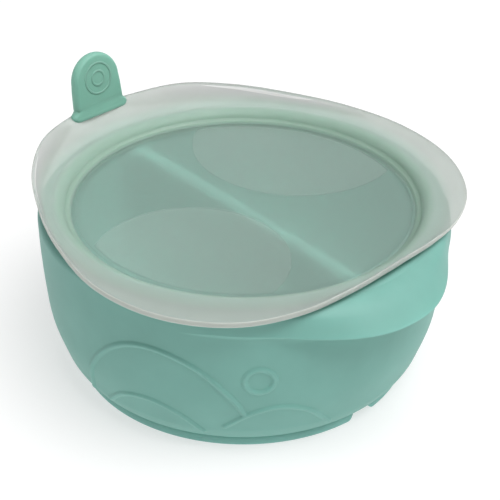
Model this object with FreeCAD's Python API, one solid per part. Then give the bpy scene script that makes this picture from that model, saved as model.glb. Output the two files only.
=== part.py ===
import FreeCAD, Part
import math
import os

# Divided suction bowl with a frosted lid, millimetres.
# Origin: centre of the base on the table. +Z up, +X towards the gripping lip.

# ---- bowl ----
wall_profile = [(59.6, 5.6), (62.6, 11.8), (65.7, 22.0), (67.0, 34.0), (67.7, 46.0), (67.9, 55.5)]
bowl_radius = 67.9
rim_top = 59.0
rim_outer_round = 3.5
rim_inner_round = 3.6
mouth_radius = 59.6
cavity_profile = [(59.6, 55.4), (59.8, 44.0), (58.6, 28.0), (54.5, 15.5), (46.0, 9.0)]
split_z = 28.0
floor_top = 9.0
floor_thick = 4.0
floor_radius = 46.0
tuck_radius = 56.2

# ---- divider ----
divider_top = 53.6
divider_thick = 5.0
divider_foot_thick = 8.0

# ---- gripping lip ----
lip_reach = 79.1
lip_half_angle = 41.0
lip_edge_z = 50.0
lip_under_z = 47.0
lip_start_z = 57.4
lip_root = 66.4

# ---- suction base ----
skirt_radius = 57.1
skirt_inner_radius = 50.0
skirt_height = 3.8
skirt_edge_round = 1.2
notch_width = 7.2
notch_turn = 3.0
cup_radius = 48.5
cup_thick = 1.2
cup_edge_lift = 0.2
cup_rise = 3.0
stud_radius = 7.0

# ---- lid ----
lid_turn = 5.5
lid_thick = 1.3
lid_gap = 0.3
panel_top = 56.3
panel_thick = 1.6
plug_foot_z = 53.9
field_radius = 35.0
field_offset = 44.0
field_angle = -69.5
field_rise = 0.5
# angle from the tab, edge radius, edge height above the base height
brim_base = 56.7
brim_margin = 0.15
brim_keys = [(0, 78.6, 7.0), (12, 76.2, 8.2), (27, 72.6, 10.4), (42, 70.0, 9.6), (60, 68.0, 8.2),
             (78, 70.0, 6.5), (97, 74.3, 4.3), (115, 76.4, 2.8), (132, 75.0, 1.9),
             (148, 70.6, 2.4), (163, 67.8, 4.0), (180, 67.0, 4.8)]
brim_step = 7.5
brim_bend = 0.25
brim_middle = 0.55

# ---- pull tab ----
tab_turn = 3.7
tab_lean = 7.5
tab_centre = -75.3
tab_thick = 4.0
tab_width = 20.8
tab_height = 18.3
tab_hinge_z = 67.0
foot_width = 22.8
foot_thick = 5.0
foot_bottom = 62.2
foot_drop = 1.3
hinge_gap = 0.25
badge_radius = 6.0
badge_line = 0.9
badge_rise = 0.3
badge_above_hinge = 8.9
edge_round = 1.2

# ---- derived ----
rim_inner_centre = (mouth_radius + rim_inner_round, rim_top - rim_inner_round)
rim_outer_centre = (bowl_radius - rim_outer_round, rim_top - rim_outer_round)
crest_radius = rim_inner_centre[0]
crest_top = rim_top + lid_gap + lid_thick
plug_radius = mouth_radius - lid_gap
panel_radius = plug_radius - lid_thick
foot_top = tab_hinge_z - foot_drop
tab_top = tab_hinge_z + tab_height
badge_z = tab_hinge_z + badge_above_hinge
up = FreeCAD.Vector(0, 0, 1)
centre = FreeCAD.Vector(0, 0, 0)


def at(radius, height):
    return FreeCAD.Vector(radius, 0, height)


def line(start, end):
    return Part.makeLine(at(*start), at(*end))


def smooth(points):
    curve = Part.BSplineCurve()
    curve.interpolate([at(*point) for point in points])
    return curve.toShape()


def arc(middle, radius, first, last):
    """Arc in the radial plane, angles in degrees from +X towards +Z."""
    angles = [math.radians(a) for a in (first, (first + last) / 2, last)]
    ends = [at(middle[0] + radius * math.cos(a), middle[1] + radius * math.sin(a)) for a in angles]
    return Part.Arc(*ends).toShape()


def spin(edges):
    """Solid of revolution of a closed outline in the radial plane."""
    face = Part.Face(Part.Wire(Part.__sortEdges__(edges)))
    return face.revolve(centre, up, 360)


def outer_skin():
    """Outside of the wall from the tuck over the base to the top of the rim."""
    edges = [line((tuck_radius, skirt_height), wall_profile[0]), smooth(wall_profile)]
    edges.append(arc(rim_outer_centre, rim_outer_round, 0, 90))
    return edges


def whole_wall():
    """Side of the bowl with its rolled rim, down to the ring that carries the suction base."""
    edges = outer_skin()
    edges.append(line((rim_outer_centre[0], rim_top), (rim_inner_centre[0], rim_top)))
    edges.append(arc(rim_inner_centre, rim_inner_round, 90, 180))
    edges.append(smooth(cavity_profile))
    edges.append(line((floor_radius, floor_top), (floor_radius, skirt_height)))
    edges.append(line((floor_radius, skirt_height), (tuck_radius, skirt_height)))
    return spin(edges)


def above(height):
    """Everything above a height."""
    return Part.makeCylinder(2 * bowl_radius, 2 * rim_top, FreeCAD.Vector(0, 0, height))


def bowl_wall():
    """Upright upper part of the wall, with the rolled rim."""
    return whole_wall().common(above(split_z))


def bowl_base():
    """Lower part of the wall, curving in under the floor."""
    return whole_wall().cut(above(split_z))


def filled_wall():
    """Everything inside the outer face of the wall."""
    edges = outer_skin()
    edges.append(line((rim_outer_centre[0], rim_top), (0, rim_top)))
    edges.append(line((0, rim_top), (0, skirt_height)))
    edges.append(line((0, skirt_height), (tuck_radius, skirt_height)))
    return spin(edges)


def cavity():
    """The space inside the bowl, from the floor to the mouth."""
    edges = [smooth(cavity_profile), line((floor_radius, floor_top), (0, floor_top))]
    edges.append(line((0, floor_top), (0, cavity_profile[0][1])))
    edges.append(line((0, cavity_profile[0][1]), cavity_profile[0]))
    return spin(edges)


def bowl_floor():
    return Part.makeCylinder(floor_radius, floor_thick, FreeCAD.Vector(0, 0, floor_top - floor_thick))


def divider_wall():
    """Tapered wall across the bowl with a full round along its top."""
    half_top = divider_thick / 2
    half_foot = divider_foot_thick / 2
    round_z = divider_top - half_top
    corners = [(half_top, round_z), (half_foot, floor_top), (-half_foot, floor_top), (-half_top, round_z)]
    points = [FreeCAD.Vector(-bowl_radius, y, z) for y, z in corners]
    crown = FreeCAD.Vector(-bowl_radius, 0, divider_top)
    edges = [Part.makeLine(points[i], points[i + 1]) for i in range(3)]
    edges.append(Part.Arc(points[3], crown, points[0]).toShape())
    block = Part.Face(Part.Wire(edges)).extrude(FreeCAD.Vector(2 * bowl_radius, 0, 0))
    return block.common(cavity())


def lip_outline(reach, height):
    """Closed crescent: swells out to the reach on +X and dies into the wall at both ends."""
    points = []
    steps = 24
    for step in range(steps + 1):
        angle = lip_half_angle * (2 * step / steps - 1)
        swell = math.cos(math.pi / 2 * angle / lip_half_angle) ** 2
        radius = lip_root + (reach - lip_root) * swell
        turn = math.radians(angle)
        points.append(FreeCAD.Vector(radius * math.cos(turn), radius * math.sin(turn), height))
    curve = Part.BSplineCurve()
    curve.interpolate(points)
    return Part.Wire([curve.toShape(), Part.makeLine(points[-1], points[0])])


def grip_lip():
    """Overhanging lip: a sloping top that ends in a crisp edge, with the underside running back in."""
    slope = Part.makeLoft([lip_outline(lip_reach, lip_edge_z), lip_outline(bowl_radius + 0.6, lip_start_z)],
                          True, True)
    under = Part.makeLoft([lip_outline(bowl_radius + 2.0, lip_under_z), lip_outline(lip_reach, lip_edge_z)],
                          True, True)
    return slope.fuse(under).cut(filled_wall()).removeSplitter()


def suction_skirt():
    edge_z = skirt_height - skirt_edge_round
    edges = [line((skirt_inner_radius, 0), (skirt_radius, 0)), line((skirt_radius, 0), (skirt_radius, edge_z))]
    edges.append(arc((skirt_radius - skirt_edge_round, edge_z), skirt_edge_round, 0, 90))
    edges.append(line((skirt_radius - skirt_edge_round, skirt_height), (skirt_inner_radius, skirt_height)))
    edges.append(line((skirt_inner_radius, skirt_height), (skirt_inner_radius, 0)))
    notch = Part.makeBox(skirt_radius, notch_width, 2 * skirt_height,
                         FreeCAD.Vector(skirt_inner_radius - 1, -notch_width / 2, -skirt_height / 2))
    notch.rotate(centre, up, notch_turn)
    return spin(edges).cut(notch)


def suction_cup():
    """Thin domed cup under the floor, held by a short stud."""
    floor_under = floor_top - floor_thick
    low = [(0, cup_rise), (cup_radius * 0.6, cup_rise * 0.62), (cup_radius, cup_edge_lift)]
    high = [(radius, height + cup_thick) for radius, height in low]
    stud = Part.makeCylinder(stud_radius, floor_under - cup_rise, FreeCAD.Vector(0, 0, cup_rise))
    dome = spin([smooth(low), line(low[-1], high[-1]), smooth(high), line(high[0], low[0])])
    return dome.fuse(stud).removeSplitter()


def turned(shape):
    """The lid sits on the bowl turned by a few degrees."""
    shape.rotate(centre, up, lid_turn)
    return shape


def on_brim(shape):
    """Turns a shape made over -X to where the tab stands."""
    shape.rotate(centre, up, tab_turn)
    return shape


def lid_panel():
    """Flat panel with two slightly raised round fields cut off by its edge."""
    panel = Part.makeCylinder(panel_radius, panel_thick, FreeCAD.Vector(0, 0, panel_top - panel_thick))
    limit = Part.makeCylinder(panel_radius, panel_thick, FreeCAD.Vector(0, 0, panel_top))
    for flip in (0, 180):
        turn = math.radians(field_angle + flip)
        spot = FreeCAD.Vector(field_offset * math.cos(turn), field_offset * math.sin(turn), panel_top)
        panel = panel.fuse(Part.makeCylinder(field_radius, field_rise, spot).common(limit))
    return turned(panel.removeSplitter())


def lid_collar():
    """Plug that drops into the mouth and rolls over the inner edge of the rim."""
    join_z = rim_inner_centre[1]
    edges = [arc(rim_inner_centre, rim_inner_round + lid_gap, 90, 180)]
    edges.append(line((plug_radius, join_z), (plug_radius, plug_foot_z)))
    edges.append(line((plug_radius, plug_foot_z), (panel_radius, plug_foot_z)))
    edges.append(line((panel_radius, plug_foot_z), (panel_radius, join_z)))
    edges.append(arc(rim_inner_centre, rim_inner_round + lid_gap + lid_thick, 180, 90))
    edges.append(line((crest_radius, crest_top), (crest_radius, crest_top - lid_thick)))
    return turned(spin(edges))


def blend(before, low, high, after, share, part):
    """Smooth value between two keys, with slopes taken from their neighbours."""
    width = high[0] - low[0]
    start = (high[part] - before[part]) / (high[0] - before[0]) * width
    end = (after[part] - low[part]) / (after[0] - low[0]) * width
    square, cube = share ** 2, share ** 3
    return ((2 * cube - 3 * square + 1) * low[part] + (cube - 2 * square + share) * start
            + (3 * square - 2 * cube) * high[part] + (cube - square) * end)


def brim_edge(angle):
    """Edge radius and height of the brim at an angle from the tab."""
    folded = abs((angle + 180) % 360 - 180)
    first, last = brim_keys[1], brim_keys[-2]
    keys = [(-first[0], first[1], first[2])] + brim_keys + [(360 - last[0], last[1], last[2])]
    for before, low, high, after in zip(keys, keys[1:], keys[2:], keys[3:]):
        if low[0] <= folded <= high[0]:
            share = (folded - low[0]) / (high[0] - low[0])
            radius, rise = [blend(before, low, high, after, share, part) for part in (1, 2)]
            return radius + brim_margin, brim_base + rise


def brim_section(angle):
    """Closed section of the brim in the radial plane at an angle from the tab."""
    radius, height = brim_edge(angle)
    middle = crest_radius + brim_middle * (radius - crest_radius)
    middle_z = crest_top + brim_bend * (height - crest_top)
    top = [(crest_radius, crest_top), (middle, middle_z), (radius - lid_thick / 2, height)]
    low = [(r, z - lid_thick) for r, z in top]
    edges = [smooth(top), arc((top[-1][0], height - lid_thick / 2), lid_thick / 2, 90, -90)]
    edges += [smooth(list(reversed(low))), line(low[0], top[0])]
    section = Part.Wire(edges)
    section.rotate(centre, up, 180 + angle)
    return section


def lid_brim():
    count = int(360 / brim_step)
    sections = [brim_section(index * brim_step) for index in range(count)]
    return turned(Part.makeLoft(sections, True, False, True))


def tab_outline(width, bottom, top):
    """Straight sides and a full round top, in the YZ plane at the tab's outer face."""
    half = width / 2
    x = tab_centre - tab_thick / 2
    spring_z = top - half
    points = [FreeCAD.Vector(x, half, spring_z), FreeCAD.Vector(x, half, bottom)]
    points += [FreeCAD.Vector(x, -half, bottom), FreeCAD.Vector(x, -half, spring_z)]
    edges = [Part.makeLine(points[i], points[i + 1]) for i in range(3)]
    edges.append(Part.Arc(points[3], FreeCAD.Vector(x, 0, top), points[0]).toShape())
    return Part.Wire(edges)


def tab_blade():
    """Blade that leans outwards and bends about its round lower end, with a plain raised ring."""
    outline = tab_outline(tab_width, tab_hinge_z, tab_top)
    blade = Part.Face(outline).extrude(FreeCAD.Vector(tab_thick, 0, 0))
    rims = [edge for edge in blade.Edges if edge.BoundBox.ZMax > tab_top - 0.01]
    blade = blade.makeFillet(edge_round, rims)
    start = FreeCAD.Vector(tab_centre, -tab_width / 2, tab_hinge_z)
    roll = Part.makeCylinder(tab_thick / 2, tab_width, start, FreeCAD.Vector(0, 1, 0))
    spot = FreeCAD.Vector(tab_centre + tab_thick / 2, 0, badge_z)
    out = FreeCAD.Vector(1, 0, 0)
    badge = Part.makeCylinder(badge_radius, badge_rise, spot, out)
    badge = badge.cut(Part.makeCylinder(badge_radius - badge_line, badge_rise, spot, out))
    blade = blade.fuse([roll, badge]).removeSplitter()
    blade.rotate(FreeCAD.Vector(tab_centre, 0, tab_hinge_z), FreeCAD.Vector(0, 1, 0), -tab_lean)
    return on_brim(blade)


def tab_foot():
    """Flared foot on the brim, with a trough that clears the blade's round end."""
    start = FreeCAD.Vector(tab_centre - foot_thick / 2, -foot_width / 2, foot_bottom)
    foot = Part.makeBox(foot_thick, foot_width, foot_top - foot_bottom, start)
    uprights = [edge for edge in foot.Edges if edge.BoundBox.ZLength > 1]
    foot = foot.makeFillet(edge_round, uprights)
    trough = Part.makeCylinder(tab_thick / 2 + hinge_gap, 2 * foot_width,
                               FreeCAD.Vector(tab_centre, -foot_width, tab_hinge_z), FreeCAD.Vector(0, 1, 0))
    return on_brim(foot.cut(trough))


makers = [bowl_wall, bowl_base, bowl_floor, divider_wall, grip_lip, suction_skirt, suction_cup,
          lid_panel, lid_collar, lid_brim, tab_foot, tab_blade]

os.makedirs("parts", exist_ok=True)
for maker in makers:
    solid = maker()
    if solid.ShapeType == "Compound" and len(solid.Solids) == 1:
        solid = solid.Solids[0]
    solid.exportStep("parts/" + maker.__name__ + ".step")
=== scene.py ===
import bpy
import bmesh
import math
from mathutils import Matrix, Vector
from mathutils.kdtree import KDTree


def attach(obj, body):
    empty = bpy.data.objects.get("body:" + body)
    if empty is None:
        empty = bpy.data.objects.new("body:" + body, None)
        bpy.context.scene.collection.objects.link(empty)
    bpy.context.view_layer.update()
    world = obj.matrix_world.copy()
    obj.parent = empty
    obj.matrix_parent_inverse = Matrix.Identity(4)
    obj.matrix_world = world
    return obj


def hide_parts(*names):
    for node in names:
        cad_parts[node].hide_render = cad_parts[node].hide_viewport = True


# Divided suction bowl with a frosted lid. Sizes are in millimetres and angles in degrees
# until a mesh is made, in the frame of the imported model: +Z up, +X towards the gripping lip.
# A profile is a list of (radius, height). A round is (middle radius, middle height, radius).
# A span is (start, full, fade, end): angles between which something grows in and fades out.

MM = 0.001

# ---- bowl ----
WALL = [(59.6, 5.6), (61.4, 8.6), (62.6, 11.6), (65.7, 22.0), (67.0, 34.0), (67.7, 46.0), (67.9, 55.5)]
WALL_ROWS = 130
RIM_TOP = 59.0
RIM_OUTER = (64.4, 55.5, 3.5)
RIM_INNER = (63.2, 55.4, 3.6)
CAVITY = [(59.6, 55.4), (59.8, 44.0), (58.6, 28.0), (54.5, 15.5), (46.0, 9.0)]
FLOOR_TOP = 9.0
UNDERSIDE = 5.0
UNDERSIDE_RADIUS = 46.0
TUCK = [(56.4, 3.8), (57.3, 3.9), (58.5, 4.5)]

# ---- gripping lip: its shapes are lists of (height, share of the reach) ----
LIP_ROOT = 46.4
LIP_EDGE = 50.0
LIP_TOP = 58.3
LIP_REACH = 11.1
LIP_OVER = [(LIP_TOP, 0.0), (58.0, 0.12), (57.4, 0.25), (56.5, 0.38), (55.2, 0.53), (53.8, 0.67),
            (52.4, 0.80), (51.2, 0.91), (50.45, 0.98), (LIP_EDGE, 1.0)]
LIP_UNDER = [(LIP_EDGE, 1.0), (49.75, 0.97), (49.5, 0.88), (48.7, 0.5), (47.6, 0.12), (LIP_ROOT, 0.0)]
LIP_UNDER_GROWTH = 2.2
LIP_UNDER_LEAST = 0.16
LIP_FLAT_ANGLE = 2.0
LIP_HALF_ANGLE = 39.0
LIP_TAIL = 0.11
LIP_TAIL_ANGLE = 58.0
LIP_TAIL_FADE = 16.0
LIP_RISE = 1.5
LIP_RISE_ANGLE = 50.0

# ---- divider: its side is a list of (distance beyond the half thickness, height over the floor) ----
DIVIDER_TOP = 53.6
DIVIDER_HALF = 2.9
DIVIDER_SINK = 1.2
DIVIDER_BOW = 1.2
DIVIDER_SPREAD = 0.9
DIVIDER_FLARE = 2.2
DIVIDER_FLARE_FROM = 0.87
DIVIDER_FLARE_LENGTH = 0.115
DIVIDER_SIDE = [(9.0, -0.4), (4.2, 1.0), (1.9, 4.0), (1.1, 12.0), (0.3, 30.0)]
DIVIDER_ROWS = 90

# ---- relief on the side: a hill is a list of (angle, height), and the sun's place is one of them ----
BEAD_WIDTH = 2.1
BEAD_HEIGHT = 0.7
RELIEF_WRAP = 66.0
RELIEF_FROM = -96.0
RELIEF_TO = -10.0
RELIEF_STEP = 0.26
PLAIN_STEP = 1.0
FAR_HILL = [(-92.0, 9.0), (-86.0, 25.0), (-76.0, 37.5), (-65.0, 41.5), (-53.0, 37.0), (-43.5, 26.0),
            (-39.5, 17.8)]
NEAR_HILL = [(-84.0, 9.0), (-76.0, 17.0), (-67.0, 19.5), (-59.0, 16.0), (-52.0, 8.5)]
LOW_HILL = [(-45.5, 12.0), (-38.0, 19.0), (-30.0, 21.5), (-22.0, 18.0), (-14.0, 8.5)]
HILL_STEPS = 600
SUN_PLACE = (-36.0, 33.0)
SUN_RADIUS = 4.6
SUN_STEPS = 300

# ---- suction base: the shoulder is a list of (distance inwards, depth below the top) ----
SKIRT_RADIUS = 57.1
SKIRT_INNER = 50.0
SKIRT_HEIGHT = 3.8
SKIRT_INSET = 0.5
SKIRT_SOFT = 0.4
SKIRT_UPRIGHT = 2.2
SKIRT_LEAST = 0.5
SKIRT_SHOULDER = [(0.25, 0.7), (0.9, 0.1), (1.6, 0.0)]
SKIRT_ROWS = 320
NOTCH_MIDDLE = 3.0
NOTCH_HALF_ANGLE = 3.6
NOTCH_ROUND = 2.4
NOTCH_DRAW = 0.5
NOTCH_LEFT = 0.6
CUP = [(48.5, 0.3), (29.0, 1.9), (0.0, 3.0)]
CUP_THICK = 1.2
CUP_COLUMNS = 120
STUD = [(7.0, 5.2), (0.0, 5.2)]
STUD_FOOT = 9.0

# ---- lid: the bead is a list of (distance outwards, height) from the panel's edge and top ----
LID_TURN = 5.5
LID_THICK = 1.25
LID_COLUMNS = 480
PANEL_RADIUS = 56.9
PANEL_TOP = 56.3
PANEL_UNDER = 54.8
PANEL_BEAD = [(-1.3, 0.0), (-1.0, 0.12), (-0.6, 0.14), (-0.25, -0.02), (0.1, 0.06), (0.75, 0.9)]
PLUG_RADIUS = 59.3
PLUG_FOOT = 53.9
PLUG_WIDE = 1.6
PLUG_SOFT = 0.4

# ---- the lid's roll over the rim, and its crest ----
ROLL_GAP = 0.15
ROLL_FROM = 153.0
ROLL_TO = 96.0
CREST_RADIUS = RIM_INNER[0]
ROLL_Z = RIM_INNER[1]
ROLL_UNDER = RIM_INNER[2] + ROLL_GAP
ROLL_TOP = ROLL_UNDER + LID_THICK
CREST = ROLL_Z + ROLL_TOP

# ---- brim: keys are (angle from the tab, radius of the edge, height of the edge above BRIM_BASE) ----
BRIM_BASE = 56.7
BRIM = [(0, 78.6, 7.0), (12, 76.2, 8.2), (27, 72.6, 10.4), (42, 70.0, 9.6), (60, 68.0, 8.2),
        (78, 70.0, 6.5), (97, 74.3, 4.3), (115, 76.4, 2.8), (132, 75.0, 1.9),
        (148, 70.8, 2.4), (163, 67.5, 4.2), (180, 65.9, 5.3)]
BRIM_MIDDLE = 0.55
BRIM_BEND = 0.25
BRIM_EDGE_THICK = 0.9
BRIM_STEPS = 20
FLANGE_DROP = 1.1
FLANGE_WIDE = 0.9
FLANGE_LIFT = 1.2
FLANGE_INSET = 0.1
FLANGE_SPAN = (-130.0, -100.0, 12.0, 45.0)
NEAR_TRIM = 1.0
TRIM_SPAN = (-115.0, -85.0, -52.0, -15.0)
EDGE_FROM = 63.0
EDGE_FACING = 0.6

# ---- round fields: (radius, offset of the middle, angle), with sides of (inset, share of the rise) ----
FIELDS = {"field_near": (31.5, 38.8, -65.5), "field_far": (36.7, 45.2, 115.5)}
FIELD_RISE = 0.5
FIELD_LIMIT = 54.6
FIELD_SIDE = [(0.0, -0.2), (0.0, 0.5), (0.06, 0.8), (0.2, 0.97), (0.45, 1.0)]
FIELD_STEPS = 60

# ---- pull tab: the waist is a list of (inset, share of the straight height) ----
TAB_TURN = 3.7
TAB_X = -75.3
TAB_THICK = 4.0
TAB_HALF_FOOT = 10.5
TAB_HALF_CROWN = 9.9
TAB_HEIGHT = 17.9
TAB_HINGE = 67.0
TAB_LEAN = 7.5
TAB_WAIST = [(0.15, 0.35), (0.3, 0.7)]
TAB_SOFT = 1.2
TAB_LAYERS = 8
CROWN_STEPS = 36

# ---- tab foot: levels are (height from the hinge, extra half width, extra half thickness) ----
FOOT_LEVELS = [(1.75, -1.2, -1.5), (1.2, -0.5, -0.7), (0.5, -0.12, -0.15), (0.0, 0.0, 0.0),
               (-0.9, 0.1, 0.0), (-1.8, 0.7, 0.0), (-2.6, 1.5, 0.0), (-3.2, 1.8, 0.0),
               (-3.9, 1.7, 0.1), (-4.7, 1.0, 0.1)]
FOOT_ROWS = 36
FOOT_ROUND = 1.9

# ---- plain rings on the tab ----
BADGE_HEIGHT = 8.9
BADGE_RADII = (5.6, 2.6)
BADGE_LINE = 0.9
BADGE_RISE = 0.22
BADGE_STEPS = 48
BADGE_SIDES = 12

# ---- green silicone ----
BOWL_GREEN = (0.218, 0.478, 0.415)
# Painted light: the bowl's green made lighter for the suction base, to make up for the shade low on the bowl
# near the floor.
BASE_GREEN_WITH_PAINTED_LIGHT = (0.255, 0.54, 0.48)
# Painted light: the bowl's green made lighter for the tab, to make up for the shade on the tab's face.
TAB_GREEN_WITH_PAINTED_LIGHT = (0.27, 0.56, 0.45)
SILICONE = {"Roughness": 0.55, "IOR": 1.41, "Subsurface Weight": 0.2,
            "Subsurface Radius": (0.6, 1.0, 0.9), "Subsurface Scale": 0.008}
SILICONE_GRAIN = (2500.0, 0.04)
CLOUD_SHADES = (0.96, 1.04)
CLOUD_STOPS = (0.3, 0.7)
CLOUD_SCALE = 60.0
CLOUD_DETAIL = 3.0
GRAIN_DETAIL = 2.0
GRAIN_STRENGTH = 0.3

# ---- frosted silicone: stops are (distance from the lid's axis, colour or level) ----
FROST = {"Transmission Weight": 0.6, "Roughness": 0.35, "IOR": 1.3, "Specular IOR Level": 0.35}
FROST_GRAIN = (1800.0, 0.03)
FROST_SCATTER = {"Subsurface Radius": (1.0, 1.0, 0.95), "Subsurface Scale": 0.003}
LID_REACH = 80.0
# Lid colour by radius. Only the pale grey out at the brim is the silicone's own. The green on the panel and
# over the rim is a painted green glow of the bowl beneath, set lighter or darker ring by ring to match how
# light falls.
LID_TINTS_AND_PAINTED_GLOW = [(56.6, (0.75, 0.97, 0.89)), (57.6, (0.45, 0.63, 0.52)), (60.5, (0.46, 0.635, 0.535)),
             (63.5, (0.49, 0.61, 0.55)), (70.0, (0.50, 0.545, 0.515))]
LID_LEVELS = {"Alpha": [(56.6, 0.42), (57.6, 0.74), (62.0, 0.74), (70.0, 0.62)],
              "Transmission Weight": [(56.6, 0.6), (57.6, 0.0)],
              "Subsurface Weight": [(56.6, 0.0), (57.6, 1.0)]}
FIELD_TINT = (0.9, 0.94, 0.9)
FIELD_COVER = 0.14
EDGE_TINT = (0.52, 0.54, 0.51)
EDGE_COVER = 0.9

# ---- camera ----
CAMERA_PLACE = (318.5, -272.1, 303.0)
CAMERA_TARGET = (-1.2, 4.1, 35.5)
CAMERA_ROLL = 0.47
CAMERA_NEAR = 10.0
LENS = 105.3
SENSOR = 36.0

# ---- studio: the floor is in metres, a light is (azimuth, elevation, spread, strength) ----
WHITE = (1, 1, 1, 1)
FLOOR_HALF = 6.0
FLOOR_LOOK = {"Base Color": (0.42, 0.42, 0.42, 1), "Roughness": 0.9,
              "Emission Color": WHITE, "Emission Strength": 0.62}
WORLD_LIGHT = 0.13
LIGHTS = {"key": (18, 70, 45, 2.95), "fill": (-110, 55, 70, 0.15)}


# ---------------------------------------------------------------- curves

def spline(points, count):
    """Evenly spread points on a smooth curve through the given points."""
    ends = [2 * Vector(points[0]) - Vector(points[1])] + [Vector(p) for p in points]
    ends.append(2 * ends[-1] - ends[-2])
    spans = len(points) - 1
    made = []
    for step in range(count + 1):
        place = step / count * spans
        index = min(int(place), spans - 1)
        t = place - index
        a, b, c, d = ends[index:index + 4]
        made.append(0.5 * ((2 * b) + (c - a) * t + (2 * a - 5 * b + 4 * c - d) * t ** 2
                           + (3 * b - a - 3 * c + d) * t ** 3))
    return [tuple(p) for p in made]


def backwards(points):
    return list(reversed(points))


def arc(circle, first, last, count):
    """Points on an arc of a round, from the first angle to the last."""
    r, z, radius = circle
    turns = [math.radians(first + (last - first) * step / count) for step in range(count + 1)]
    return [(r + radius * math.cos(turn), z + radius * math.sin(turn)) for turn in turns]


def straight(start, end, count):
    """Points from start to end, without the start."""
    steps = range(1, count + 1)
    return [tuple(a + (b - a) * step / count for a, b in zip(start, end)) for step in steps]


def ease(share):
    """Smooth rise from 0 to 1."""
    share = min(max(share, 0.0), 1.0)
    return share * share * (3 - 2 * share)


def folded(angle):
    """The same direction as an angle from -180 to 180."""
    return (angle + 180) % 360 - 180


def within(angle, span):
    """Share from 0 to 1 that rises and falls smoothly over a span."""
    place = folded(angle)
    start, full, fade, end = span
    return ease((place - start) / (full - start)) * ease((end - place) / (end - fade))


def radius_at(line, height):
    """Radius of a rising profile at a height. Above and below the profile, the radius at that end."""
    for low, high in zip(line, line[1:]):
        if low[1] <= height <= high[1]:
            return low[0] + (high[0] - low[0]) * (height - low[1]) / (high[1] - low[1])
    return line[-1][0] if height > line[-1][1] else line[0][0]


def whole_turn(count):
    """Evenly spread angles once round."""
    return [360 * step / count for step in range(count)]


def turned(x, y, angle):
    """A flat point after a turn about the vertical axis."""
    turn = math.radians(angle)
    return x * math.cos(turn) - y * math.sin(turn), x * math.sin(turn) + y * math.cos(turn)


# ---------------------------------------------------------------- meshes

def new_piece(name, mesh, material, slot, body, *nodes):
    """Puts a mesh in the scene on its body, in its material, in place of the given CAD nodes. The slot is not
    used.
    """
    piece = bpy.data.objects.new(name, mesh)
    bpy.context.collection.objects.link(piece)
    mesh.materials.append(material)
    mesh.shade_smooth()
    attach(piece, body)
    if nodes:
        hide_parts(*nodes)
    return piece


def finish_mesh(mesh, name):
    """Turns a worked mesh into a named one, with its faces pointing outwards."""
    bmesh.ops.recalc_face_normals(mesh, faces=mesh.faces)
    data = bpy.data.meshes.new(name)
    mesh.to_mesh(data)
    mesh.free()
    return data


def new_column(mesh, profile, turn):
    """Vertices of a profile that stands at an angle, here in radians."""
    places = [(r * math.cos(turn) * MM, r * math.sin(turn) * MM, z * MM) for r, z in profile]
    return [mesh.verts.new(place) for place in places]


def lathe(name, section, angles):
    """Mesh from one profile per angle. Each profile starts and ends on the axis."""
    mesh = bmesh.new()
    columns = [new_column(mesh, section(angle), math.radians(angle)) for angle in angles]
    for column, other in zip(columns, columns[1:] + columns[:1]):
        for low in range(len(column) - 1):
            mesh.faces.new((column[low], other[low], other[low + 1], column[low + 1]))
    bmesh.ops.remove_doubles(mesh, verts=mesh.verts, dist=1e-7)
    return finish_mesh(mesh, name)


def join_rings(mesh, low, high):
    """Faces between two closed rings with the same number of points."""
    for k in range(len(low)):
        after = (k + 1) % len(low)
        mesh.faces.new((low[k], low[after], high[after], high[k]))


def close_rows(mesh, rows):
    """Skins rows of points that each go once round a closed section, and caps both ends."""
    for low, high in zip(rows, rows[1:]):
        join_rings(mesh, low, high)
    mesh.faces.new(rows[0])
    mesh.faces.new(rows[-1])


# ---------------------------------------------------------------- materials

def node_material(name):
    material = bpy.data.materials.new(name)
    material.use_nodes = True
    tree = material.node_tree
    return material, tree.nodes, tree.links, tree.nodes["Principled BSDF"]


def set_sockets(node, values):
    for socket, value in values.items():
        node.inputs[socket].default_value = value


def noise(nodes, links, scale, detail):
    place = nodes.new("ShaderNodeTexCoord")
    made = nodes.new("ShaderNodeTexNoise")
    set_sockets(made, {"Scale": scale, "Detail": detail})
    links.new(place.outputs["Object"], made.inputs["Vector"])
    return made.outputs["Fac"]


def clouding(nodes, links, colour):
    """Colour that drifts a little darker and lighter over the surface."""
    ramp = nodes.new("ShaderNodeValToRGB")
    for element, stop, shade in zip(ramp.color_ramp.elements, CLOUD_STOPS, CLOUD_SHADES):
        element.position = stop
        element.color = (*[min(1.0, value * shade) for value in colour], 1)
    links.new(noise(nodes, links, CLOUD_SCALE, CLOUD_DETAIL), ramp.inputs["Fac"])
    return ramp.outputs["Color"]


def grain(nodes, links, shader, scale, height):
    """Fine moulded texture."""
    bump = nodes.new("ShaderNodeBump")
    set_sockets(bump, {"Strength": GRAIN_STRENGTH, "Distance": height * MM})
    links.new(noise(nodes, links, scale, GRAIN_DETAIL), bump.inputs["Height"])
    links.new(bump.outputs["Normal"], shader.inputs["Normal"])


def green_silicone(name, colour):
    """Matte silicone: soft sheen, faint clouding and a fine moulded grain."""
    material, nodes, links, shader = node_material(name)
    links.new(clouding(nodes, links, colour), shader.inputs["Base Color"])
    set_sockets(shader, SILICONE)
    grain(nodes, links, shader, *SILICONE_GRAIN)
    return material


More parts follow.
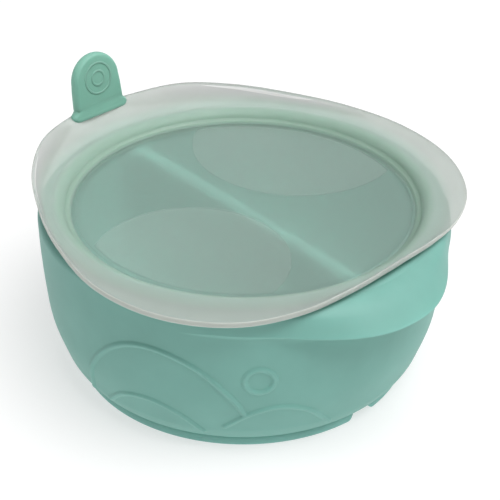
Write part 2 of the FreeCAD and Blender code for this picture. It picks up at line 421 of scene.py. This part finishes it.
def by_radius(nodes, links, stops):
    """Colour that depends on the distance from the lid's axis. Stops are (radius, colour)."""
    place = nodes.new("ShaderNodeTexCoord")
    flat = nodes.new("ShaderNodeVectorMath")
    flat.operation = "MULTIPLY"
    flat.inputs[1].default_value = (1 / (LID_REACH * MM), 1 / (LID_REACH * MM), 0)
    radius = nodes.new("ShaderNodeVectorMath")
    radius.operation = "LENGTH"
    ramp = nodes.new("ShaderNodeValToRGB")
    ramp.color_ramp.interpolation = "EASE"
    while len(ramp.color_ramp.elements) < len(stops):
        ramp.color_ramp.elements.new(0.5)
    for element, (stop, colour) in zip(ramp.color_ramp.elements, stops):
        element.position = stop / LID_REACH
        element.color = (*colour, 1)
    links.new(place.outputs["Object"], flat.inputs[0])
    links.new(flat.outputs["Vector"], radius.inputs[0])
    links.new(radius.outputs["Value"], ramp.inputs["Fac"])
    return ramp.outputs["Color"]


def frosted_base(name):
    """Frosted silicone: part of the light passes straight, part is blurred."""
    material, nodes, links, shader = node_material(name)
    set_sockets(shader, FROST)
    grain(nodes, links, shader, *FROST_GRAIN)
    return material, nodes, links, shader


def frosted_lid(name):
    """Frosted silicone whose colour, cover and scattering change from the panel to the brim's edge. The
    colour is its own pale grey at the brim and a painted green glow of the rim beneath further in.
    """
    material, nodes, links, shader = frosted_base(name)
    links.new(by_radius(nodes, links, LID_TINTS_AND_PAINTED_GLOW), shader.inputs["Base Color"])
    for socket, levels in LID_LEVELS.items():
        greys = [(radius, (level, level, level)) for radius, level in levels]
        links.new(by_radius(nodes, links, greys), shader.inputs[socket])
    set_sockets(shader, FROST_SCATTER)
    return material


def frosted_plate(name, colour, cover):
    """Thin frosted silicone."""
    material, *_, shader = frosted_base(name)
    set_sockets(shader, {"Base Color": (*colour, 1), "Alpha": cover})
    return material


def frosted_solid(name, colour, cover):
    """Frosted silicone seen edge-on, where it is thick enough to scatter all the light."""
    material, *_, shader = frosted_base(name)
    set_sockets(shader, {"Base Color": (*colour, 1), "Alpha": cover,
                         "Transmission Weight": 0.0, "Subsurface Weight": 1.0})
    set_sockets(shader, FROST_SCATTER)
    return material


# ---------------------------------------------------------------- bowl

WALL_LINE = spline(WALL, 60)
CAVITY_LINE = backwards(spline(CAVITY, 60))
LIP_OVER_LINE = backwards(spline(LIP_OVER, 44))
LIP_UNDER_LINE = backwards(spline(LIP_UNDER, 22))


def outer_radius(height):
    """Radius outside the bowl at a height, rim included, without the lip."""
    middle, spring, radius = RIM_OUTER
    if height <= spring:
        return radius_at(WALL_LINE, height)
    return middle + math.sqrt(radius ** 2 - (height - spring) ** 2)


def lip_swell(angle):
    """Share of the lip's reach at an angle, with a faint tail each side, and the rise of its edge."""
    away = abs(folded(angle))
    main = ease((LIP_HALF_ANGLE - away) / (LIP_HALF_ANGLE - LIP_FLAT_ANGLE))
    tail = LIP_TAIL * ease((LIP_TAIL_ANGLE - away) / LIP_TAIL_FADE)
    swell = math.hypot(main, tail)
    rise = LIP_RISE * min(away / LIP_RISE_ANGLE, 1.0) ** 2
    return swell, rise * min(swell / LIP_TAIL, 1.0)


def sun_line():
    """Circle round SUN_PLACE on the bowl's side, as (angle, height)."""
    angle, height = SUN_PLACE
    per_mm = math.degrees(1 / radius_at(WALL_LINE, height))
    turns = [2 * math.pi * k / SUN_STEPS for k in range(SUN_STEPS)]
    return [(angle + SUN_RADIUS * math.cos(t) * per_mm, height + SUN_RADIUS * math.sin(t)) for t in turns]


def relief_lines():
    """Search tree of points on the relief's lines, laid flat as (distance round the wall, height)."""
    points = sun_line()
    for hill in (FAR_HILL, NEAR_HILL, LOW_HILL):
        points += spline(hill, HILL_STEPS)
    tree = KDTree(len(points))
    for index, (angle, height) in enumerate(points):
        tree.insert((math.radians(angle) * RELIEF_WRAP, height, 0), index)
    tree.balance()
    return tree


RELIEF = relief_lines()


def relief_height(angle, height):
    """How far the relief stands off the wall at an angle and height."""
    place = folded(angle)
    if not RELIEF_FROM < place < RELIEF_TO:
        return 0.0
    away = RELIEF.find((math.radians(place) * RELIEF_WRAP, height, 0))[2] / (BEAD_WIDTH / 2)
    return BEAD_HEIGHT * (1 - away * away) if away < 1 else 0.0


def bowl_angles():
    """Angles round the bowl, closest together where the relief is."""
    fine = int((RELIEF_TO - RELIEF_FROM) / RELIEF_STEP)
    angles = [RELIEF_FROM + RELIEF_STEP * k for k in range(fine)]
    plain = RELIEF_TO
    while plain < RELIEF_FROM + 360 - PLAIN_STEP / 2:
        angles.append(plain)
        plain += PLAIN_STEP
    return angles


def foot_line():
    """From the middle of the underside out to the foot of the wall."""
    points = [(0, UNDERSIDE)] + straight((0, UNDERSIDE), (UNDERSIDE_RADIUS, UNDERSIDE), 4)
    points += straight(points[-1], (UNDERSIDE_RADIUS, TUCK[0][1]), 2)
    points += straight(points[-1], TUCK[0], 4)
    return points + spline(TUCK + [WALL[0]], 12)[1:]


def wall_line(angle):
    """Up the outside of the wall, with its relief, to just below the root of the lip."""
    low = WALL[0][1]
    heights = [low + (LIP_ROOT - low) * row / WALL_ROWS for row in range(1, WALL_ROWS)]
    return [(radius_at(WALL_LINE, height) + relief_height(angle, height), height) for height in heights]


def lip_line(angle):
    """From the root of the lip, out under it and back over it to its top."""
    swell, rise = lip_swell(angle)
    depth = min(max(LIP_UNDER_GROWTH * swell, LIP_UNDER_LEAST), 1.0)
    under = [(LIP_EDGE - (LIP_EDGE - height) * depth, share) for height, share in LIP_UNDER_LINE]
    points = []
    for height, share in under + LIP_OVER_LINE[1:]:
        points.append((outer_radius(height) + LIP_REACH * swell * share, height + rise * share))
    return points


def inside_line():
    """From the top of the lip over the rim and down the cavity to the middle of the floor."""
    start = math.degrees(math.asin((LIP_TOP - RIM_OUTER[1]) / RIM_OUTER[2]))
    points = arc(RIM_OUTER, start, 90, 8)[1:]
    points += straight((RIM_OUTER[0], RIM_TOP), (RIM_INNER[0], RIM_TOP), 2)[:-1]
    points += arc(RIM_INNER, 90, 180, 14)
    points += spline(CAVITY, 48)[1:]
    return points + straight(CAVITY[-1], (0, FLOOR_TOP), 16)


def bowl_section(angle):
    return foot_line() + wall_line(angle) + lip_line(angle) + inside_line()


def divider_section(along):
    """Closed outline across the divider as (y, z), at a place from -1 to 1 of its length."""
    flare = ease((abs(along) - DIVIDER_FLARE_FROM) / DIVIDER_FLARE_LENGTH) ** 2
    half = DIVIDER_HALF + DIVIDER_SPREAD * along ** 2 + DIVIDER_FLARE * flare
    round_z = DIVIDER_TOP - DIVIDER_HALF
    side = [(half + out, FLOOR_TOP + up) for out, up in DIVIDER_SIDE] + [(half, round_z)]
    turns = [math.pi / 2 * k / 8 for k in range(1, 9)]
    line = spline(side, 20) + [(half * math.cos(t), round_z + DIVIDER_HALF * math.sin(t)) for t in turns]
    return line + [(-y, z) for y, z in reversed(line[:-1])]


def divider_mesh():
    """Round-topped wall across the bowl, flaring into the floor, with its ends sunk in the side wall."""
    mesh = bmesh.new()
    rows = []
    for step in range(DIVIDER_ROWS + 1):
        along = 2 * step / DIVIDER_ROWS - 1
        middle = DIVIDER_BOW * (1 - along ** 2)
        row = []
        for y, z in divider_section(along):
            reach = math.sqrt((radius_at(CAVITY_LINE, z) + DIVIDER_SINK) ** 2 - y ** 2)
            row.append(mesh.verts.new((along * reach * MM, (y + middle) * MM, z * MM)))
        rows.append(row)
    close_rows(mesh, rows)
    return finish_mesh(mesh, "divider")


# ---------------------------------------------------------------- suction base

def skirt_section(near):
    """Closed outline of the skirt at a distance from the notch. Close to it, the foot lifts off the table."""
    round_off = 1 - min(near / NOTCH_ROUND, 1.0)
    foot = (SKIRT_HEIGHT - NOTCH_LEFT) * (1 - math.sqrt(1 - round_off ** 2))
    outer = SKIRT_RADIUS - NOTCH_DRAW * round_off ** 2
    side = [(outer, foot + SKIRT_SOFT), (outer, max(foot + SKIRT_LEAST, SKIRT_UPRIGHT))]
    side += [(outer - inwards, SKIRT_HEIGHT - depth) for inwards, depth in SKIRT_SHOULDER]
    points = [(SKIRT_INNER, foot)] + straight((SKIRT_INNER, foot), (outer - SKIRT_INSET, foot), 3)
    points += arc((outer - SKIRT_INSET, foot + SKIRT_SOFT, SKIRT_SOFT), -60, 0, 3)
    points += spline(side, 10)[1:]
    return points + straight(side[-1], (SKIRT_INNER, SKIRT_HEIGHT), 3)


def skirt_mesh():
    """Ring under the bowl, open at the notch, with its rows closest together at the two ends."""
    mesh = bmesh.new()
    rows = []
    sweep = 360 - 2 * NOTCH_HALF_ANGLE
    for step in range(SKIRT_ROWS + 1):
        share = 0.5 - 0.5 * math.cos(math.pi * step / SKIRT_ROWS)
        turn = math.radians(NOTCH_MIDDLE + NOTCH_HALF_ANGLE + sweep * share)
        near = min(share, 1 - share) * math.radians(sweep) * SKIRT_RADIUS
        rows.append(new_column(mesh, skirt_section(near), turn))
    close_rows(mesh, rows)
    return finish_mesh(mesh, "skirt")


def cup_section(angle):
    """Domed cup under the floor, closed over its stud, and the same at every angle."""
    under = spline(CUP, 24)
    over = [(r, z + CUP_THICK) for r, z in under if r > STUD_FOOT]
    return backwards(under) + over + STUD


# ---------------------------------------------------------------- lid

def hermite(before, low, high, after, t, part):
    """Smooth value between two keys, with slopes taken from their neighbours."""
    width = high[0] - low[0]
    rise = (high[part] - before[part]) / (high[0] - before[0]) * width
    fall = (after[part] - low[part]) / (after[0] - low[0]) * width
    square, cube = t * t, t * t * t
    return ((2 * cube - 3 * square + 1) * low[part] + (cube - 2 * square + t) * rise
            + (3 * square - 2 * cube) * high[part] + (cube - square) * fall)


def brim_edge(angle):
    """Radius and height of the brim's edge at an angle from the tab. The two sides mirror each other."""
    away = abs(folded(angle))
    second, last_but_one = BRIM[1], BRIM[-2]
    keys = [(-second[0], *second[1:])] + BRIM + [(360 - last_but_one[0], *last_but_one[1:])]
    for before, low, high, after in zip(keys, keys[1:], keys[2:], keys[3:]):
        if low[0] <= away <= high[0]:
            t = (away - low[0]) / (high[0] - low[0])
            return [hermite(before, low, high, after, t, part) for part in (1, 2)]


def panel_line():
    """From the middle of the panel over its bead and up the collar's roll."""
    bead = [(PANEL_RADIUS + out, PANEL_TOP + up) for out, up in PANEL_BEAD]
    points = [(0, PANEL_TOP)] + straight((0, PANEL_TOP), bead[0], 24) + spline(bead, 20)[1:]
    return points + arc((CREST_RADIUS, ROLL_Z, ROLL_TOP), ROLL_FROM, ROLL_TO, 16)


def brim_line(angle):
    """From the crest over the rim out to the brim's edge, and back underneath to the crest."""
    radius, rise = brim_edge(angle - 180 - LID_TURN)
    radius -= NEAR_TRIM * within(angle, TRIM_SPAN)
    flange = within(angle, FLANGE_SPAN)
    edge_z = BRIM_BASE + rise + FLANGE_LIFT * flange
    middle = CREST_RADIUS + BRIM_MIDDLE * (radius - CREST_RADIUS)
    middle_z = CREST + BRIM_BEND * (edge_z - CREST)
    soft = FLANGE_WIDE / 2
    low_z = edge_z - BRIM_EDGE_THICK - FLANGE_DROP * flange + soft
    over = spline([(CREST_RADIUS, CREST), (middle, middle_z), (radius - soft, edge_z)], BRIM_STEPS)
    edge = arc((radius - soft, edge_z - soft, soft), 90, 0, 6)[1:]
    edge += straight(edge[-1], (radius, low_z), 3)
    edge += arc((radius - soft, low_z, soft), 0, -90 - 90 * flange, 10)[1:]
    under = spline([(radius - FLANGE_WIDE - FLANGE_INSET, edge_z - BRIM_EDGE_THICK),
                    (middle, middle_z - (LID_THICK + BRIM_EDGE_THICK) / 2),
                    (CREST_RADIUS, CREST - LID_THICK)], BRIM_STEPS)
    return over + edge + under


def plug_line():
    """Down inside the roll, round the plug's foot, and under the panel to its middle."""
    inner = PLUG_RADIUS - PLUG_WIDE
    points = arc((CREST_RADIUS, ROLL_Z, ROLL_UNDER), ROLL_TO, 180, 10)
    points += [(PLUG_RADIUS, PLUG_FOOT + PLUG_SOFT), (PLUG_RADIUS - PLUG_SOFT, PLUG_FOOT)]
    points += [(inner + PLUG_SOFT, PLUG_FOOT), (inner, PLUG_FOOT + PLUG_SOFT), (inner, PANEL_UNDER)]
    return points + straight((inner, PANEL_UNDER), (0, PANEL_UNDER), 16)


def lid_section(angle):
    return panel_line() + brim_line(angle) + plug_line()


def frost_edge(piece, material):
    """Gives the brim's thick outer edge its own, paler frosting."""
    piece.data.materials.append(material)
    for face in piece.data.polygons:
        outward = Vector((face.center.x, face.center.y, 0))
        if outward.length > EDGE_FROM * MM and face.normal.dot(outward.normalized()) > EDGE_FACING:
            face.material_index = 1


def field_outline(radius, offset, inset):
    """Closed line round the part that a round field shares with the round panel, set back by the inset."""
    edge, round_field = FIELD_LIMIT - inset, radius - inset
    wide = math.acos((offset ** 2 + edge ** 2 - round_field ** 2) / (2 * offset * edge))
    far = math.atan2(edge * math.sin(wide), edge * math.cos(wide) - offset)
    line = []
    for k in range(FIELD_STEPS + 1):
        turn = -wide + 2 * wide * k / FIELD_STEPS
        line.append((edge * math.cos(turn), edge * math.sin(turn)))
    for k in range(1, FIELD_STEPS):
        turn = far + (2 * math.pi - 2 * far) * k / FIELD_STEPS
        line.append((offset + round_field * math.cos(turn), round_field * math.sin(turn)))
    return line


def field_mesh(name, radius, offset, angle):
    """Thin raised plate on the panel: part of a disc whose middle lies off the lid's centre."""
    mesh = bmesh.new()
    rings = []
    for inset, share in FIELD_SIDE:
        height = PANEL_TOP + FIELD_RISE * share
        places = [Vector((*turned(x, y, angle), height)) for x, y in field_outline(radius, offset, inset)]
        rings.append([mesh.verts.new(place * MM) for place in places])
    close_rows(mesh, rings)
    return finish_mesh(mesh, name)


# ---------------------------------------------------------------- pull tab

def tab_place(x, y, z):
    """Point of the tab, given on its own leaning plane: x through it, y across it, z up from the hinge."""
    lean = math.radians(TAB_LEAN)
    out = TAB_X + x * math.cos(lean) - z * math.sin(lean)
    up = TAB_HINGE + x * math.sin(lean) + z * math.cos(lean)
    return Vector((*turned(out, y, TAB_TURN), up))


def tab_outline(inset):
    """Side and crown of the tab as (y, z), from the hinge up to the top and down again."""
    crown = TAB_HALF_CROWN - inset
    foot = TAB_HALF_FOOT - inset
    spring = TAB_HEIGHT - TAB_HALF_CROWN
    waist = [(foot - inwards, spring * share) for inwards, share in TAB_WAIST]
    side = spline([(foot, 0)] + waist + [(crown, spring)], 12)
    turns = [math.pi * k / CROWN_STEPS for k in range(1, CROWN_STEPS)]
    top = [(crown * math.cos(t), spring + crown * math.sin(t)) for t in turns]
    return side + top + [(-y, z) for y, z in reversed(side)]


def tab_mesh():
    """Blade with rounded edges and a round lower end, centred on the hinge, that turns in the foot."""
    mesh = bmesh.new()
    rings = []
    half = TAB_THICK / 2
    for layer in range(-TAB_LAYERS, TAB_LAYERS + 1):
        share = math.sin(layer / TAB_LAYERS * math.pi / 2)
        x = half * share
        inset = TAB_SOFT * (1 - math.sqrt(1 - share * share))
        low = -math.sqrt(max(half ** 2 - x ** 2, 0))
        across = TAB_HALF_FOOT - inset
        ring = tab_outline(inset) + [(-across + 2 * across * step / 8, low) for step in range(9)]
        rings.append([mesh.verts.new(tab_place(x, y, z) * MM) for y, z in ring])
    close_rows(mesh, rings)
    return finish_mesh(mesh, "tab")


def foot_outline(half_width, half_thick, count):
    """Closed outline across the foot, with two round ends, as (x, y)."""
    round_end = min(half_thick, FOOT_ROUND)
    flat = half_width - round_end
    made = []
    for side in (1, -1):
        for k in range(count + 1):
            turn = math.pi * (k / count - 0.5) * side
            made.append((half_thick * math.sin(turn), side * (flat + round_end * math.cos(turn))))
    return made


def foot_mesh():
    """Foot moulded on the brim: its round top sits inside the blade, and it flares out to meet the brim."""
    mesh = bmesh.new()
    rings = []
    levels = [(z, TAB_HALF_FOOT + wider, TAB_THICK / 2 + thicker) for z, wider, thicker in FOOT_LEVELS]
    for z, wide, thick in spline(levels, FOOT_ROWS):
        rings.append([mesh.verts.new(tab_place(x, y, z) * MM) for x, y in foot_outline(wide, thick, 10)])
    close_rows(mesh, rings)
    return finish_mesh(mesh, "tab_root")


def badge_mesh(name, radius):
    """Plain ring in low relief on the tab's inner face."""
    mesh = bmesh.new()
    face = TAB_THICK / 2
    middle = tab_place(face, 0, BADGE_HEIGHT)
    normal = (tab_place(1, 0, 0) - tab_place(0, 0, 0)).normalized()
    rings = []
    for k in range(BADGE_STEPS):
        turn = 2 * math.pi * k / BADGE_STEPS
        place = tab_place(face, radius * math.cos(turn), BADGE_HEIGHT + radius * math.sin(turn))
        ahead = tab_place(face, -radius * math.sin(turn), BADGE_HEIGHT + radius * math.cos(turn))
        across = normal.cross((ahead - middle).normalized()).normalized()
        ring = []
        for side in range(BADGE_SIDES):
            around = 2 * math.pi * side / BADGE_SIDES
            offset = across * (BADGE_LINE / 2 * math.cos(around))
            ring.append(mesh.verts.new((place + offset + normal * (BADGE_RISE * math.sin(around))) * MM))
        rings.append(ring)
    for low, high in zip(rings, rings[1:] + rings[:1]):
        join_rings(mesh, low, high)
    return finish_mesh(mesh, name)


# ---------------------------------------------------------------- studio

def soft_sun(name, azimuth, elevation, spread, strength):
    """Even light from far away. Azimuth 0 is +X, turning towards +Y."""
    data = bpy.data.lights.new(name, "SUN")
    data.angle = math.radians(spread)
    data.energy = strength
    lamp = bpy.data.objects.new(name, data)
    bpy.context.collection.objects.link(lamp)
    turn, rise = math.radians(azimuth), math.radians(elevation)
    place = Vector((math.cos(turn) * math.cos(rise), math.sin(turn) * math.cos(rise), math.sin(rise)))
    lamp.rotation_euler = (-place).to_track_quat("-Z", "Y").to_euler()


def make_camera():
    data = bpy.data.cameras.new("camera")
    data.sensor_width = SENSOR
    data.lens = LENS
    data.clip_start = CAMERA_NEAR * MM
    camera = bpy.data.objects.new("camera", data)
    bpy.context.collection.objects.link(camera)
    place = Vector(CAMERA_PLACE) * MM
    aim = (Vector(CAMERA_TARGET) * MM - place).to_track_quat("-Z", "Y").to_matrix().to_4x4()
    roll = Matrix.Rotation(math.radians(CAMERA_ROLL), 4, "Z")
    camera.matrix_world = Matrix.Translation(place) @ aim @ roll
    bpy.context.scene.camera = camera


def make_floor():
    """Wide floor that glows a little, so that only a soft shadow shows on it."""
    mesh = bpy.data.meshes.new("floor")
    corners = [(-FLOOR_HALF, -FLOOR_HALF, 0), (FLOOR_HALF, -FLOOR_HALF, 0),
               (FLOOR_HALF, FLOOR_HALF, 0), (-FLOOR_HALF, FLOOR_HALF, 0)]
    mesh.from_pydata(corners, [], [(0, 1, 2, 3)])
    white, *_, shader = node_material("floor_white")
    set_sockets(shader, FLOOR_LOOK)
    mesh.materials.append(white)
    floor = bpy.data.objects.new("floor", mesh)
    bpy.context.collection.objects.link(floor)


def make_studio():
    make_floor()
    world = bpy.data.worlds.new("studio")
    world.use_nodes = True
    set_sockets(world.node_tree.nodes["Background"], {"Color": WHITE, "Strength": WORLD_LIGHT})
    bpy.context.scene.world = world
    bpy.context.scene.view_settings.view_transform = "Standard"
    for name, light in LIGHTS.items():
        soft_sun(name, *light)


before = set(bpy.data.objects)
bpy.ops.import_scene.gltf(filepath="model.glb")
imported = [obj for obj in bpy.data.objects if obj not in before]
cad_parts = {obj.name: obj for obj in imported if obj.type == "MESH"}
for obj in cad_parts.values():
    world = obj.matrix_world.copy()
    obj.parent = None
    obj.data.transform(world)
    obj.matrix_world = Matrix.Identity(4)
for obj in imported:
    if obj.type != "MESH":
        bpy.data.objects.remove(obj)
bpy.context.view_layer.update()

make_camera()
make_studio()
bowl_green = green_silicone("bowl_green", BOWL_GREEN)
base_green_painted_light = green_silicone("base_green_painted_light", BASE_GREEN_WITH_PAINTED_LIGHT)
tab_green_painted_light = green_silicone("tab_green_painted_light", TAB_GREEN_WITH_PAINTED_LIGHT)
# The lid's material carries the painted green glow of the rim beneath, set by radius.
frosted = frosted_lid("frosted")
field_frost = frosted_plate("field_frost", FIELD_TINT, FIELD_COVER)
edge_frost = frosted_solid("edge_frost", EDGE_TINT, EDGE_COVER)

new_piece("bowl", lathe("bowl", bowl_section, bowl_angles()), bowl_green, "bowl_silicone", "bowl",
          "bowl_wall", "bowl_base", "bowl_floor", "grip_lip")
new_piece("divider", divider_mesh(), bowl_green, "bowl_silicone", "bowl", "divider_wall")
# The skirt and cup take the lighter copy of the bowl's green: painted light against the shade near the floor.
new_piece("skirt", skirt_mesh(), base_green_painted_light, "base_silicone", "bowl", "suction_skirt")
new_piece("cup", lathe("cup", cup_section, whole_turn(CUP_COLUMNS)), base_green_painted_light, "base_silicone", "bowl",
          "suction_cup")
lid = new_piece("lid", lathe("lid", lid_section, whole_turn(LID_COLUMNS)), frosted, "lid_silicone", "lid",
                "lid_panel", "lid_collar", "lid_brim")
frost_edge(lid, edge_frost)
for name, field in FIELDS.items():
    new_piece(name, field_mesh(name, *field), field_frost, "lid_silicone", "lid")
# The tab, its foot and its rings take the lighter copy of the bowl's green: painted light on the tab.
new_piece("tab_root", foot_mesh(), tab_green_painted_light, "tab_silicone", "lid", "tab_foot")
new_piece("tab", tab_mesh(), tab_green_painted_light, "tab_silicone", "tab", "tab_blade")
for name, radius in zip(("badge_outer", "badge_inner"), BADGE_RADII):
    new_piece(name, badge_mesh(name, radius), tab_green_painted_light, "tab_silicone", "tab")
